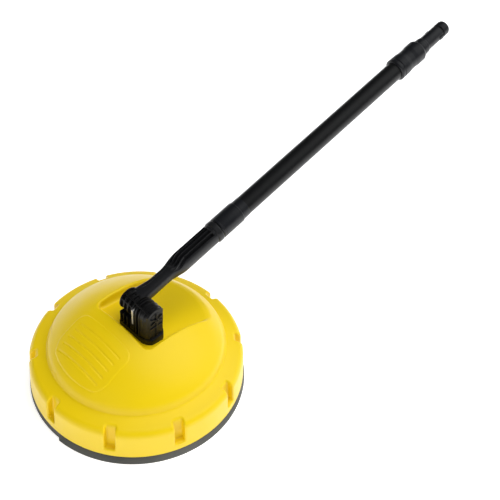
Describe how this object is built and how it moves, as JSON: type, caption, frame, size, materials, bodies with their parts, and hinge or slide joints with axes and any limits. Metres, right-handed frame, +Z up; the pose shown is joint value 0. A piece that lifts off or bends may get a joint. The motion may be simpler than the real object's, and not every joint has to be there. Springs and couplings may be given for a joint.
{
  "type": "surface cleaner",
  "caption": "Round domed patio cleaning hood with a brush rim, a spinning spray rotor inside and a tilting lance with a twist-in extension ending in a bayonet plug.",
  "frame": {"origin": "on the rotor's axis at the level of the floor under the bristles", "axes": "+Z up along the rotor's axis, +Y towards the back, over which the lance leans, +X along the lance's tilt pivot"},
  "size_m": [0.2936, 0.743, 0.3187],
  "materials": {
    "yellow_hood": "satin moulded plastic",
    "black_plastic": "satin moulded plastic",
    "tube_plastic": "extruded satin plastic",
    "carrier_plastic": "moulded plastic",
    "bristles": "nylon bristle",
    "screw_steel": "zinc plated",
    "spring_steel": "stainless, bright",
    "bearing_steel": "ground",
    "tube_steel": "stainless tube",
    "cast_alloy": "die cast",
    "brass": "turned",
    "seal_rubber": "matt"
  },
  "bodies": {
    "hood": {"hood_shell": "yellow_hood", "brush_carrier": "carrier_plastic", "bristle_ring": "bristles", "carrier_screws": "screw_steel", "joint_base": "black_plastic", "joint_block": "black_plastic", "block_end_cap": "black_plastic", "base_screws": "screw_steel", "retaining_clip": "spring_steel", "feed_pipe": "brass", "bearing_housing": "cast_alloy", "housing_screws": "screw_steel", "shaft_seal": "seal_rubber", "upper_bearing": "bearing_steel", "lower_bearing": "bearing_steel", "bearing_spacer": "cast_alloy", "housing_circlip": "spring_steel"},
    "rotor": {"rotor_shaft": "bearing_steel", "shaft_circlip": "spring_steel", "rotor_hub": "black_plastic", "hub_nut": "screw_steel", "spray_arm_left": "tube_steel", "spray_arm_right": "tube_steel", "nozzle_elbow_left": "black_plastic", "nozzle_elbow_right": "black_plastic", "nozzle_left": "brass", "nozzle_right": "brass"},
    "lance": {"swivel_drum": "black_plastic", "drum_cap": "black_plastic", "trunnion": "brass", "trunnion_seals": "seal_rubber", "lance_arm": "black_plastic", "coupling_seal": "seal_rubber"},
    "extension": {"extension_sleeve": "black_plastic", "extension_tube": "tube_plastic", "pressure_pipe": "tube_steel", "pipe_supports": "carrier_plastic", "upper_collar": "black_plastic", "bayonet_plug": "black_plastic", "bayonet_lugs": "black_plastic", "plug_seal": "seal_rubber"}
  },
  "joints": [
    {"name": "rotor_spin", "type": "hinge", "parent": "hood", "child": "rotor", "pos_m": [0, 0, 0.031], "axis": [0, 0, 1], "continuous": true},
    {"name": "lance_tilt", "type": "hinge", "parent": "hood", "child": "lance", "pos_m": [0, 0, 0.1365], "axis": [1, 0, 0], "range_deg": [0, 74]},
    {"name": "extension_twist", "type": "hinge", "parent": "lance", "child": "extension", "pos_m": [0, 0.13842, 0.17879], "axis": [0, 0.9613, 0.2756], "range_deg": [0, 90]}
  ]
}
